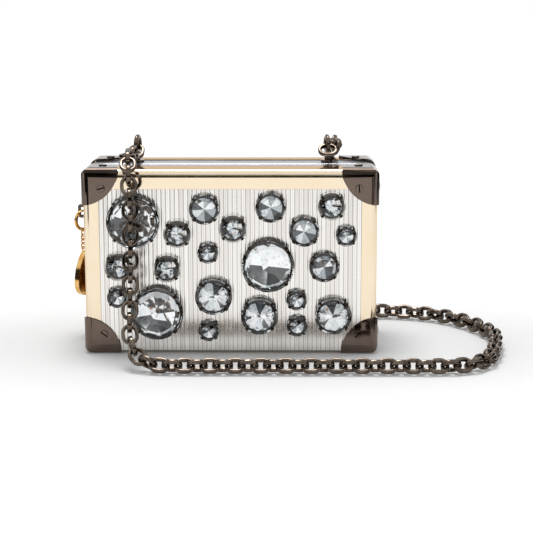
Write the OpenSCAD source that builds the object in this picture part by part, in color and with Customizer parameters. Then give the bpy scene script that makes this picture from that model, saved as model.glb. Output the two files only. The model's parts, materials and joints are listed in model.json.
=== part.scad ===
/* [Case] */
// Width of the case without its corner caps
body_w = 150; // [130:1:180]
// Height of the case without its corner caps
body_h = 95; // [80:1:120]
// Depth of the closed case without its corner caps
body_d = 54; // [46:1:70]
// Radius of the corners seen from the front
corner_r = 4; // [3.5:0.5:8]
// Radius of the rounded front and back edges
edge_r = 3; // [2:0.5:5]
// Wall of the silver tray
tray_wall = 1.1; // [0.8:0.1:2]
// Thickness of the cloth lining
lining_t = 0.8; // [0.5:0.1:1.5]

/* [Gold frame] */
// Thickness of the gold frame
frame_t = 1.2; // [0.8:0.1:2]
// Depth of the gold band on the top, bottom and sides
flange_d = 12; // [8:0.5:16]
// Width of the band at the left and right of the panel
band_side = 8; // [5:0.5:12]
// Width of the band above the panel
band_top = 10; // [6:0.1:13]
// Width of the band below the panel
band_bottom = 2.5; // [2:0.1:8]

/* [Panel] */
// Thickness of the ribbed panel
panel_t = 1.2; // [0.8:0.1:2]
// Distance between the main grooves of the panel
rib_pitch = 2; // [1.5:0.1:4]
// Depth of the main grooves
groove_d = 0.25; // [0.1:0.05:0.4]

/* [Corner caps] */
// Reach of a corner cap from its corner
cap_reach = 19.3; // [15:0.1:24]
// Thickness of a corner cap
cap_t = 1; // [0.6:0.1:1.5]
// Distance of the screws from the edges of a cap
screw_in = 10.5; // [8:0.5:12]
// Diameter of a screw head
screw_head_d = 4.2; // [3:0.1:5]
// Diameter of a screw shank
screw_d = 1.8; // [1.2:0.1:2.4]

/* [Crystals] */
// Diameter of the largest crystals
stone_xl_d = 27; // [24:0.5:29]
// Diameter of the large crystals
stone_l_d = 19; // [17:0.5:20]
// Diameter of the medium crystals with a table
stone_m_d = 15.4; // [13:0.2:16]
// Diameter of the pointed crystals
stone_p_d = 14; // [12:0.5:15]
// Diameter of the small crystals
stone_s_d = 10.6; // [9:0.2:11]

/* [Chain] */
// Length of a link
link_l = 10.6; // [10.4:0.1:11]
// Width of a link
link_w = 8.6; // [8.2:0.1:9]
// Thickness of the wire across a link
wire_t = 1.8; // [1.5:0.1:1.9]
// Width of the wire
wire_w = 2.4; // [1.8:0.1:2.5]

/* [Eyes and charm] */
// Distance of each chain eye from the middle of the case
eye_x = 50; // [40:1:54]
// Distance of the chain eyes behind the parting plane
eye_y = 9; // [7:0.5:11]
// Mean radius of an eye's ring
eye_r = 4; // [3.8:0.1:5]
// Radius of an eye's wire
eye_wire_r = 1.1; // [0.8:0.1:1.2]
// Height of the pendant
pendant_h = 24; // [18:0.5:28]
// Width of the pendant
pendant_w = 14; // [12:0.5:15]
// Thickness of the pendant's rim
pendant_t = 3; // [2:0.1:4]

/* [Hidden] */
$fn = 48;

// Colours
gold = "#EBD9B4";
silver = "#C9CACC";
gunmetal = "#5C534D";
crystal = "#DCE6EA";
cloth = "#2E2A2C";
charm_gold = "#D9A657";
stone_green = "#39452F";

// Clearances and small sizes of the case
gap = 0.05;
parting = 0.15;
cut = 1;
inset_strip = 0.4;
panel_recess = 0.2;
half_w = body_w / 2;
half_d = body_d / 2;
base_z = cap_t;
top_z = base_z + body_h;
mid_z = base_z + body_h / 2;
full_h = body_h + 2 * cap_t;
tray_out = frame_t + gap;
tray_in = tray_out + tray_wall;
floor_y = half_d - panel_recess - panel_t - gap;
cavity_y = floor_y - tray_wall;
lining_out = tray_in + gap;
lining_in = lining_out + lining_t;
lining_y = cavity_y - gap - lining_t;
lining_edge = 1;

// A flat rectangle with round corners, centred on the case
module flat_plate(inset, radius) {
    w = body_w - 2 * inset;
    h = body_h - 2 * inset;
    translate([-w / 2 + radius, -h / 2]) square([w - 2 * radius, h]);
    translate([-w / 2, -h / 2 + radius]) square([w, h - 2 * radius]);
    for (x = [-1, 1], z = [-1, 1])
        translate([x * (w / 2 - radius), z * (h / 2 - radius)]) circle(r = radius);
}

// The same outline, drawn out along the depth between two planes in front of the middle
module upright(inset, radius, y_from, y_to)
    translate([0, -y_to, mid_z]) rotate([90, 0, 0])
        linear_extrude(y_from - y_to) flat_plate(inset, radius);

// One half of the case: round corners and a round front edge
module half_block(inset) {
    r = edge_r - inset;
    w = body_w - 2 * inset;
    h = body_h - 2 * inset;
    d = half_d - inset;
    intersection() {
        upright(inset, corner_r - inset, d, 0);
        // Round front edges at the top and bottom
        translate([-w / 2 - cut, 0, mid_z]) rotate([90, 0, 90]) linear_extrude(w + 2 * cut) {
            translate([-d + r, -h / 2]) square([d - r + cut, h]);
            translate([-d, -h / 2 + r]) square([d + cut, h - 2 * r]);
            for (z = [-1, 1]) translate([-d + r, z * (h / 2 - r)]) circle(r = r);
        }
        // Round front edges at the left and right
        translate([0, 0, base_z - edge_r]) linear_extrude(body_h + 2 * edge_r) {
            translate([-w / 2, -d + r]) square([w, d - r + cut]);
            translate([-w / 2 + r, -d]) square([w - 2 * r, d + cut]);
            for (x = [-1, 1]) translate([x * (w / 2 - r), -d + r]) circle(r = r);
        }
    }
}

// Turns a front piece into its twin at the back
module at_back() mirror([0, 1, 0]) children();

// Axes of the three screws of each corner cap, from outside to inside, apart from the underside's
module screw_axes() {
    for (x = [-1, 1], z = [-1, 1]) {
        // Through the front face
        translate([x * (half_w + cap_t - screw_in), -half_d - cap_t, mid_z + z * (full_h / 2 - screw_in)])
            rotate([-90, 0, 0]) children();
        // Through the side
        translate([x * (half_w + cap_t), -half_d - cap_t + screw_in, mid_z + z * (full_h / 2 - screw_in)])
            rotate([0, x > 0 ? -90 : 90, 0]) children();
    }
    // Through the top
    for (x = [-1, 1])
        translate([x * (half_w + cap_t - screw_in), -half_d - cap_t + screw_in, mid_z + full_h / 2])
            rotate([180, 0, 0]) children();
}
// The case stands on its lower caps, so the screws of the underside are sunk flush
module foot_axes() for (x = [-1, 1])
    translate([x * (half_w + cap_t - screw_in), -half_d - cap_t + screw_in, mid_z - full_h / 2]) children();
head_h = 0.6;
screw_l = cap_t + frame_t + tray_wall;
screw_hole_d = screw_d + 2 * gap;
module screw_hole() translate([0, 0, -cut]) cylinder(d = screw_hole_d, h = screw_l + 2 * cut);
module screw_holes() {
    screw_axes() screw_hole();
    foot_axes() screw_hole();
    foot_axes() translate([0, 0, -cut]) cylinder(d = screw_head_d + 2 * gap, h = cut + head_h);
}

// Silver tray of one half
module tray() color(silver) difference() {
    union() {
        upright(tray_out, corner_r - tray_out, floor_y, parting);
        upright(inset_strip, corner_r - inset_strip, half_d - flange_d - gap, parting);
    }
    upright(tray_in, corner_r - tray_in, cavity_y, -cut);
    screw_holes();
}

// Gold frame of one half: a flange all round and a band round the panel
window_w = body_w - 2 * band_side;
window_h = body_h - band_top - band_bottom;
window_z = base_z + band_bottom;
module frame() color(gold) difference() {
    half_block(0);
    upright(frame_t, corner_r - frame_t, half_d - frame_t, -cut);
    translate([-half_w - cut, -half_d + flange_d, base_z - cut])
        cube([body_w + 2 * cut, half_d, body_h + 2 * cut]);
    translate([-window_w / 2, -half_d - cut, window_z]) cube([window_w, half_d, window_h]);
    screw_holes();
}

// Ribbed panel: each rib pitch has a deep groove and a shallow one beside it
panel_w = window_w - 2 * gap;
panel_h = window_h - 2 * gap;
rib_count = floor(panel_w / rib_pitch) - 1;
rib_margin = (panel_w - rib_count * rib_pitch) / 2;
// Places and depths of the points of one rib, as shares of the pitch and groove depth
rib_shares = [[0.06, 0], [0.12, 1], [0.24, 1], [0.30, 0], [0.60, 0], [0.64, 0.5], [0.72, 0.5], [0.76, 0]];
module ribbed_panel() color(silver) difference() {
    translate([0, -half_d + panel_recess, window_z + gap]) linear_extrude(panel_h)
        polygon(concat([[-panel_w / 2, panel_t], [-panel_w / 2, 0]],
            [for (i = [0 : rib_count - 1]) for (p = rib_shares)
                [-panel_w / 2 + rib_margin + (i + p[0]) * rib_pitch, p[1] * groove_d]],
            [[panel_w / 2, 0], [panel_w / 2, panel_t]]));
    screw_holes();
}

// Cloth lining of one half
module lining() color(cloth) difference() {
    upright(lining_out, corner_r - lining_out, cavity_y - gap, lining_edge);
    upright(lining_in, corner_r - lining_in + lining_t, lining_y, -cut);
}

// One corner cap: a rounded shell cut by a ball at the corner
cap_gap = 0.02;
module cap(x, z) color(gunmetal) intersection() {
    difference() {
        half_block(-cap_t);
        half_block(-cap_gap);
        screw_holes();
    }
    translate([x * (half_w + cap_t), -half_d - cap_t, mid_z + z * full_h / 2]) sphere(r = cap_reach);
}

// Slotted screws of one half
slot_w = 0.7;
slot_d = 0.35;
module screw(sunk) difference() {
    union() {
        translate([0, 0, gap + cap_gap]) cylinder(d = screw_d, h = screw_l - 2 * gap - sunk);
        translate([0, 0, -head_h]) cylinder(d1 = screw_head_d - head_h, d2 = screw_head_d, h = head_h / 2);
        translate([0, 0, -head_h / 2]) cylinder(d = screw_head_d, h = head_h / 2);
        cylinder(d = screw_d, h = 2 * gap);
    }
    translate([-screw_head_d, -slot_w / 2, -head_h - cut]) cube([2 * screw_head_d, slot_w, cut + slot_d]);
}
module screws() color(gunmetal) {
    screw_axes() screw(0);
    foot_axes() translate([0, 0, head_h]) screw(head_h);
}

// Lip on the back half that centres the closed front half, on the three sides away from the hinge
lip_t = 0.7;
lip_reach = 2;
lip_inset = lining_in + gap;
lip_back = 6;
module lip() color(silver) difference() {
    translate([0, lip_back, mid_z]) rotate([90, 0, 0])
        linear_extrude(lip_back + lip_reach) flat_plate(lip_inset, edge_r);
    translate([0, lip_back + cut, mid_z]) rotate([90, 0, 0])
        linear_extrude(lip_back + lip_reach + 2 * cut) flat_plate(lip_inset + lip_t, edge_r - lip_t);
    translate([-half_w, -lip_reach - cut, base_z])
        cube([half_w / 2, lip_reach + cut - parting, body_h]);
}

// Magnets and their steel keepers, at the right-hand edge
magnet_d = 6;
magnet_t = 1.2;
magnet_x = half_w - lining_in - lip_t - magnet_d;
magnet_share = 0.3;
magnet_y = parting + gap;
post_r = magnet_d / 2 + lining_t;
module closers() color(silver) for (z = [-1, 1])
    translate([magnet_x, 0, mid_z + z * magnet_share * body_h]) rotate([90, 0, 0]) {
        translate([0, 0, magnet_y]) cylinder(d = magnet_d, h = magnet_t);
        translate([0, 0, magnet_y + magnet_t])
            cylinder(r = post_r, h = lining_y - magnet_y - magnet_t - gap);
    }

// Hinge at the left side: knuckles on a pin between the upper and lower caps
hinge_r = 1.5;
pin_r = 0.6;
leaf_t = 0.5;
leaf_d = 7;
hinge_x = -half_w - hinge_r;
hinge_y = 0;
hinge_span = full_h - 2 * cap_reach - 2 * cap_t;
knuckles = 5;
knuckle_h = hinge_span / knuckles;
knuckle_gap = 0.1;
hinge_foot = mid_z - hinge_span / 2 + knuckle_gap / 2;
leaf_from = hinge_r + 2 * parting;
module hinge_leaf(first, side) color(gunmetal) difference() {
    union() {
        for (i = [first : 2 : knuckles - 1]) translate([0, 0, hinge_foot + i * knuckle_h]) {
            translate([hinge_x, hinge_y, 0]) cylinder(r = hinge_r, h = knuckle_h - knuckle_gap);
            translate([hinge_x, side > 0 ? 0 : -leaf_d / 2, 0])
                cube([hinge_r - gap, leaf_d / 2, knuckle_h - knuckle_gap]);
        }
        translate([-half_w - leaf_t - gap, side > 0 ? leaf_from : -leaf_d, hinge_foot])
            cube([leaf_t, leaf_d - leaf_from, hinge_span - knuckle_gap]);
    }
    translate([hinge_x, hinge_y, mid_z - hinge_span / 2 - cut])
        cylinder(r = pin_r + gap, h = hinge_span + 2 * cut);
}

module hinge_pin() color(gunmetal)
    translate([hinge_x, hinge_y, mid_z - hinge_span / 2]) cylinder(r = pin_r, h = hinge_span);

// Chain eyes: a foot, a post and a ring, with a stud and a nut inside the case
foot_r = 3.2;
foot_h = 1;
post_eye_r = 1.3;
eye_post_h = 4.4;
strip_z = top_z - inset_strip;
eye_z = strip_z + foot_h + eye_post_h + eye_r;
stud_r = 1.2;
stud_l = 5;
nut_r = 2.6;
nut_h = 1.6;
eye_turn_angle = 10;
module eye(side) color(gunmetal) translate([side * eye_x, eye_y, 0]) {
    translate([0, 0, strip_z + gap]) cylinder(r = foot_r, h = foot_h);
    translate([0, 0, strip_z + foot_h]) cylinder(r = post_eye_r, h = eye_post_h);
    translate([0, 0, eye_z]) rotate([90, 0, 90 + side * eye_turn_angle])
        rotate_extrude() translate([eye_r, 0]) circle(r = eye_wire_r);
    translate([0, 0, strip_z - stud_l]) cylinder(r = stud_r, h = stud_l + foot_h);
}
module eye_holes() for (side = [-1, 1]) translate([side * eye_x, eye_y, top_z - 3 * stud_l])
    cylinder(r = stud_r + gap, h = 4 * stud_l);
module back_tray() difference() {
    at_back() tray();
    eye_holes();
}
module back_lining() difference() {
    at_back() lining();
    eye_holes();
}
module eye_nuts() color(gunmetal) for (side = [-1, 1])
    translate([side * eye_x, eye_y, top_z - lining_in - nut_h - gap]) difference() {
        cylinder(r = nut_r, h = nut_h, $fn = 6);
        translate([0, 0, -cut]) cylinder(r = stud_r + gap, h = nut_h + 2 * cut);
    }

// Staple on the left wall of the back half, which carries the charm
staple_r = 0.95;
staple_down = 27.5;
staple_y = half_d - flange_d - 2 * staple_r - 2 * gap;
staple_z = top_z - staple_down;
staple_h = 5.8;
staple_x = 7.8;
module staple() color(gunmetal) translate([-half_w + inset_strip - gap, staple_y, staple_z]) {
    for (z = [-1, 1]) translate([0, 0, z * staple_h / 2]) rotate([0, -90, 0])
        cylinder(r = staple_r, h = staple_x - staple_r);
    translate([-staple_x, 0, -staple_h / 2 + staple_r]) cylinder(r = staple_r, h = staple_h - 2 * staple_r);
    for (z = [0, 1]) mirror([0, 0, z]) translate([-staple_x + staple_r, 0, staple_h / 2 - staple_r])
        rotate([90, 0, 0]) rotate_extrude(angle = 90, start = 90)
            translate([staple_r, 0]) circle(r = staple_r);
    for (z = [-1, 1]) translate([gap, 0, z * staple_h / 2]) rotate([0, -90, 0])
        cylinder(r = 2 * staple_r, h = staple_r);
}

// Route of the chain from the left eye, down the front, round the right and up to the right eye.
// Each point is a share of the eyes' distance from the middle, a share of the way from the eyes
// to the chain's drop in front (below 0) or its rise at the back (above 0), and a share of the way
// from the floor to the roof. Above 1 the last share counts eye radii over the roof.
route_shares = [
    [-1.01, -0.081, 1], [-1.03, -0.242, 1], [-1.05, -0.424, 1], [-1.05, -0.586, 1.25],
    [-1.03, -0.747, 1], [-1.01, -0.889, 0.948], [-1, -0.97, 0.865], [-0.99, -1, 0.762],
    [-0.99, -1.03, 0.576], [-0.99, -1.091, 0.41], [-0.99, -1.192, 0.255], [-0.98, -1.313, 0.13],
    [-0.9, -1.434, 0.037], [-0.72, -1.515, 0.004], [-0.52, -1.535, 0], [0, -1.535, 0],
    [0.8, -1.535, 0], [1.6, -1.535, 0], [2.08, -1.535, 0], [2.36, -1.475, 0], [2.56, -1.293, 0],
    [2.66, -1.03, 0], [2.74, -0.687, 0], [2.78, -0.303, 0], [2.72, 0.039, 0], [2.58, 0.627, 0],
    [2.38, 1.137, 0], [2.12, 1.49, 0], [1.8, 1.686, 0], [1.5, 1.686, 0.011], [1.28, 1.529, 0.068],
    [1.14, 1.333, 0.172], [1.08, 1.176, 0.306], [1.06, 1.078, 0.472], [1.05, 1.02, 0.638],
    [1.05, 1.004, 0.783], [1.05, 1, 0.865], [1.05, 0.957, 0.928], [1.054, 0.835, 0.982],
    [1.06, 0.647, 1.5], [1.074, 0.412, 1.95], [1.09, 0.216, 1.87], [1.1, 0.06, 1.62]];
drop_clear = 13.5;
rise_clear = 7.5;
drop_reach = half_d + eye_y + drop_clear;
rise_reach = half_d - eye_y + rise_clear;
lie_z = link_w / 2 + 2 * gap;
roof_z = eye_z - eye_r;
function route_point(p) = [p[0] * eye_x, eye_y + p[1] * (p[1] < 0 ? drop_reach : rise_reach),
    p[2] <= 1 ? lie_z + p[2] * (roof_z - lie_z) : roof_z + (p[2] - 1) * eye_r];
route = [for (p = route_shares) route_point(p)];
// Route points between which each stretch of the chain lies
stretches = [0, 4, 13, 18, 26, 30, 38, 42];
route_steps = 10;
function spline(p, i, t) =
    let (a = p[max(i - 1, 0)], b = p[i], c = p[i + 1], d = p[min(i + 2, len(p) - 1)])
    ((2 * b) + (c - a) * t + (2 * a - 5 * b + 4 * c - d) * t * t + (3 * b - a - 3 * c + d) * t * t * t) / 2;
route_fine = concat(
    [for (i = [0 : len(route) - 2]) for (k = [0 : route_steps - 1]) spline(route, i, k / route_steps)],
    [route[len(route) - 1]]);
route_far = [for (i = 0, s = 0; i < len(route_fine);
    s = s + (i + 1 < len(route_fine) ? norm(route_fine[i + 1] - route_fine[i]) : 0), i = i + 1) s];
route_length = route_far[len(route_far) - 1];
function route_at(s) = [for (k = [0 : 2])
    lookup(s, [for (i = [0 : len(route_fine) - 1]) [route_far[i], route_fine[i][k]]])];
link_play = 0.8;
link_pitch = link_l - 2 * wire_t - link_play;
link_count = 2 * floor(route_length / link_pitch / 2) + 2;
link_step = route_length / (link_count - 1);
function unit(v) = v / norm(v);
link_at = [for (i = [0 : link_count - 1]) route_at(i * link_step)];
link_dir = [for (i = [0 : link_count - 1])
    unit(link_at[min(i + 1, link_count - 1)] - link_at[max(i - 1, 0)])];
link_side = [for (i = 0, n = [1, 0, 0]; i < link_count;
    i = i + 1, n = i < link_count ? unit(n - (n * link_dir[i]) * link_dir[i]) : n) n];

// One link: two half rings and two straights of flat wire with broken corners
wire_break = 0.35;
module wire_section() polygon([
    [-wire_t / 2 + wire_break, -wire_w / 2], [wire_t / 2 - wire_break, -wire_w / 2],
    [wire_t / 2, -wire_w / 2 + wire_break], [wire_t / 2, wire_w / 2 - wire_break],
    [wire_t / 2 - wire_break, wire_w / 2], [-wire_t / 2 + wire_break, wire_w / 2],
    [-wire_t / 2, wire_w / 2 - wire_break], [-wire_t / 2, -wire_w / 2 + wire_break]]);
bend_r = (link_w - wire_t) / 2;
straight = link_l - link_w;
module link() {
    for (end = [0, 1]) mirror([end, 0, 0]) translate([straight / 2, 0, 0])
        rotate_extrude(angle = 180, start = -90) translate([bend_r, 0]) wire_section();
    for (side = [-1, 1]) translate([-straight / 2, side * bend_r, 0]) rotate([90, 0, 90])
        linear_extrude(straight) wire_section();
}

// A link at a place, along a direction, lying in the plane of that direction and a side
module placed_link(at, along, side) {
    t = unit(along);
    n = unit(side - (side * t) * t);
    b = cross(t, n);
    multmatrix([[t.x, n.x, b.x, at.x], [t.y, n.y, b.y, at.y], [t.z, n.z, b.z, at.z], [0, 0, 0, 1]]) link();
}

// The first link slants down out of the left eye, and a cross link joins the last one to the right eye
first_dir = unit([-0.1, -0.8, -0.58]);
first_in = 0.45;
first_down = 1.2;
first_at = [-eye_x, eye_y - first_in, eye_z - first_down] + (link_l - wire_t) / 2 * first_dir;
cross_side = [0, 0.8, 0.6];
cross_out = 0.5;
cross_down = 1;
cross_at = [eye_x + cross_out, eye_y, eye_z - cross_down] - bend_r * cross_side;

// The links of one stretch, by their distance along the route
module chain(stretch) color(gunmetal)
    for (i = [1 : link_count - 1]) let (s = i * link_step)
        if (s > route_far[stretches[stretch] * route_steps]
            && s <= route_far[stretches[stretch + 1] * route_steps] + gap)
            placed_link(link_at[i], link_dir[i],
                i % 2 == 0 ? link_side[i] : cross(link_dir[i], link_side[i]));
module chain_left_top() {
    color(gunmetal) placed_link(first_at, first_dir, [1, 0, 0]);
    chain(0);
}
module chain_right_top() {
    color(gunmetal) placed_link(cross_at, [1, 0, 0], cross_side);
    chain(6);
}

// Settings: a gunmetal ring with four prongs, standing on the panel
panel_y = -half_d + panel_recess - gap;
setting_wall = 1;
prong_t = 0.6;
prong_w = 1.6;
prong_over = 1.3;
// Height of a crystal's girdle above the panel and of its crown, for each size
girdle_xl = 5.6;
girdle_l = 4.8;
girdle_m = 4.2;
girdle_p = 3.9;
girdle_s = 3.4;
crown_xl = 3;
crown_l = 2.5;
crown_m = 2;
crown_p = 2.3;
crown_s = 1.6;
girdle_band = 0.4;
seat_share = 0.75;
// Places of the crystals, as shares of the panel's width from its middle and of its height from its foot
places_xl_shares = [[-0.367, 0.805], [0.144, 0.530], [-0.281, 0.228]];
places_l_shares = [[-0.064, 0.335], [0.111, 0.211], [0.393, 0.212]];
places_m_shares = [[-0.097, 0.881], [0.154, 0.893], [0.281, 0.743], [0.358, 0.521]];
places_p_shares = [[-0.201, 0.726], [0.011, 0.758], [-0.242, 0.507], [-0.428, 0.518], [0.385, 0.898]];
places_s_shares = [[-0.085, 0.606], [-0.433, 0.324], [-0.084, 0.112], [0.441, 0.714], [0.253, 0.310],
    [0.255, 0.143]];
module at_places(shares) for (p = shares)
    translate([p[0] * window_w, panel_y, window_z + p[1] * window_h]) rotate([90, 0, 0]) children();

module setting(d, girdle, crown) {
    r = d / 2;
    prong_a = prong_w / r * 180 / PI;
    tip_z = girdle + crown * crown_share(crown, r);
    rotate_extrude() polygon([[r - setting_wall, 0], [r - gap, 0], [r - gap, girdle - girdle_band],
        [r - setting_wall, girdle - girdle_band - setting_wall * seat_share]]);
    for (a = [45 : 90 : 315]) rotate_extrude(angle = prong_a, start = a - prong_a / 2)
        polygon([[r - 2 * gap, girdle - 2 * girdle_band - prong_t],
            [r + prong_t, girdle - girdle_band - prong_t], [r + prong_t, girdle + girdle_band],
            [r - prong_over + prong_t / 2, tip_z + prong_t], [r - prong_over, tip_z + gap * 4],
            [r + gap, girdle + gap * 3], [r + gap, girdle - girdle_band - gap],
            [r - 2 * gap, girdle - girdle_band - gap]]);
}
// Rise of the crown's skirt at the prong tip
skirt_r_share = 0.8;
skirt_h_share = 0.6;
function crown_share(crown, r) = skirt_h_share * prong_over / (r * (1 - skirt_r_share));
module setting_set(shares, d, girdle, crown) color(gunmetal) at_places(shares) setting(d, girdle, crown);

// Crystals: a girdle, a crown of kite facets up to a table or a point, and a pointed back
back_share = 0.8;
facets = 8;
xl_table_share = 0.6;
m_table_share = 0.55;
s_table_share = 0.5;
module crystal(d, girdle, crown, table_share) translate([0, 0, girdle]) {
    r = d / 2;
    hull() {
        translate([0, 0, -girdle_band + gap]) cylinder(r = r, h = girdle_band - gap, $fn = 2 * facets);
        rotate(180 / facets) cylinder(r = r * skirt_r_share, h = crown * skirt_h_share, $fn = facets);
        cylinder(r = max(r * table_share, gap), h = crown, $fn = facets);
        translate([0, 0, -girdle * back_share]) cylinder(r = gap, h = gap, $fn = facets);
    }
}
module crystal_set(shares, d, girdle, crown, table_share) color(crystal)
    at_places(shares) crystal(d, girdle, crown, table_share);

// Charm on the staple: a spring ring, three links and a pendant, turned about the vertical
charm_angle = 50;
ring_r = 5;
ring_wire_r = 1;
lean_angle = 20;
ring_side = 3;
hang_x = -half_w + inset_strip - staple_x + ring_side;
ring_x = hang_x - ring_r * sin(lean_angle) * cos(charm_angle);
ring_y = staple_y - ring_r * sin(lean_angle) * sin(charm_angle);
ring_z = staple_z - ring_r * cos(lean_angle);
trigger_end_angle = 130;
slot_angle = 16;
trigger_angle = 55;
tip_angle = 8;
spring_angle = 40;
tip_end_angle = trigger_end_angle - trigger_angle - tip_angle;
travel_angle = 35;
knob_angle = trigger_end_angle + slot_angle;
trigger_r = 0.55;
knob_r = 0.5;
knob_l = 2.2;
pendant_angle = 60;
module charm_frame(turn = charm_angle) translate([ring_x, ring_y, ring_z]) rotate([90, 0, turn]) children();
module torus_piece(r, wire, from, angle)
    rotate_extrude(angle = angle, start = from) translate([r, 0]) circle(r = wire);
lug_r = 1.5;
lug_wire_r = 0.5;
module clasp_ring() color(charm_gold) charm_frame() {
    difference() {
        torus_piece(ring_r, ring_wire_r, trigger_end_angle, 360 - trigger_angle);
        torus_piece(ring_r, trigger_r + gap, trigger_end_angle - cut, spring_angle + travel_angle + 2 * cut);
        torus_piece(ring_r, trigger_r + gap, tip_end_angle - cut, tip_angle + 2 * cut);
        rotate_extrude(angle = travel_angle + slot_angle, start = knob_angle - slot_angle / 2)
            translate([ring_r - knob_r - gap, 0]) square([2 * (knob_r + gap), knob_l]);
    }
    translate([0, -ring_r - ring_wire_r - lug_r + gap, 0]) rotate([0, 90, 0])
        rotate_extrude() translate([lug_r, 0]) circle(r = lug_wire_r);
}
module clasp_trigger() color(charm_gold) charm_frame() {
    torus_piece(ring_r, trigger_r, tip_end_angle, trigger_angle + tip_angle + spring_angle);
    rotate(knob_angle) translate([ring_r, 0, 0]) cylinder(r = knob_r, h = knob_l);
}
charm_link_r = 1.6;
charm_link_wire = 0.45;
charm_link_step = 2.3;
charm_link_count = 3;
link_start_share = 0.15;
charm_top = -ring_r - ring_wire_r - 2 * lug_r;
module charm_links() color(charm_gold) charm_frame()
    for (i = [0 : charm_link_count - 1])
        translate([0, charm_top - (i + link_start_share) * charm_link_step, 0]) rotate([0, i % 2 * 90, 0])
            rotate_extrude() translate([charm_link_r, 0]) circle(r = charm_link_wire);

// Pendant: an oval rim with a loop, pierced scrolls on one side and a set stone on the other
bail_r = 1.2;
last_link = charm_top - (charm_link_count - 1 + link_start_share) * charm_link_step;
bail_y = last_link - charm_link_r - bail_r + 2 * charm_link_wire + 2 * gap;
pendant_top = bail_y - bail_r - charm_link_wire / 2;
pendant_rim_w = 1.6;
// A drop shape: a round foot and two long arcs that meet at the top
foot_y = pendant_w / 2 - pendant_h;
arc_r = (foot_y * foot_y + pendant_w * pendant_w / 4) / pendant_w;
module oval(grow) {
    translate([0, foot_y]) circle(r = pendant_w / 2 + grow);
    intersection() {
        intersection_for(side = [-1, 1])
            translate([side * (arc_r - pendant_w / 2), foot_y]) circle(r = arc_r + grow);
        translate([-pendant_w, foot_y]) square([2 * pendant_w, pendant_h]);
    }
}
middle_share = 0.6;
middle_y = -pendant_h * middle_share;
module pendant_at() charm_frame(pendant_angle) translate([0, pendant_top, 0]) children();
module pendant_rim() color(charm_gold) pendant_at() {
    difference() {
        translate([0, 0, -pendant_t / 2]) linear_extrude(pendant_t) oval(0);
        translate([0, 0, -pendant_t]) linear_extrude(2 * pendant_t) oval(-pendant_rim_w);
    }
    translate([0, bail_y - pendant_top, 0]) rotate([0, 90, 0])
        rotate_extrude() translate([bail_r, 0]) circle(r = charm_link_wire);
}
plate_t = 0.6;
scroll_x_share = 0.17;
scroll_step_share = 0.14;
scroll_end_share = 0.26;
scroll_r_share = 0.11;
scroll_eye_share = 0.05;
// A pierced scroll: a ring-shaped cut, broken by the stem that holds its eye
module scroll_cut(side) difference() {
    circle(r = pendant_w * scroll_r_share);
    circle(r = pendant_w * scroll_eye_share);
    translate([side > 0 ? -pendant_w * scroll_r_share : 0, 0])
        square([pendant_w * scroll_r_share, pendant_w * scroll_eye_share]);
}
module pendant_plate() linear_extrude(plate_t) difference() {
    oval(-pendant_rim_w - gap);
    for (k = [-1 : 1], side = [-1, 1])
        translate([side * pendant_w * scroll_x_share, middle_y - k * pendant_h * scroll_step_share])
            scroll_cut(side);
    for (end = [-1, 1]) translate([0, middle_y + end * pendant_h * scroll_end_share]) scroll_cut(end);
}
module pendant_filigree() color(charm_gold) pendant_at()
    translate([0, 0, pendant_t / 2 - 2 * plate_t]) pendant_plate();
module pendant_back() color(charm_gold) pendant_at()
    translate([0, 0, -pendant_t / 2 + plate_t / 2]) linear_extrude(plate_t) oval(-pendant_rim_w - gap);
cabochon_r = 3.2;
cabochon_h = 1.8;
cabochon_ball_r = 5.1;
module pendant_stone() color(stone_green) pendant_at()
    translate([0, middle_y, -pendant_t / 2 + plate_t / 2 - gap]) mirror([0, 0, 1])
        intersection() {
            cylinder(r = cabochon_r, h = cabochon_h);
            translate([0, 0, cabochon_h - cabochon_ball_r]) sphere(r = cabochon_ball_r);
        }

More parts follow.
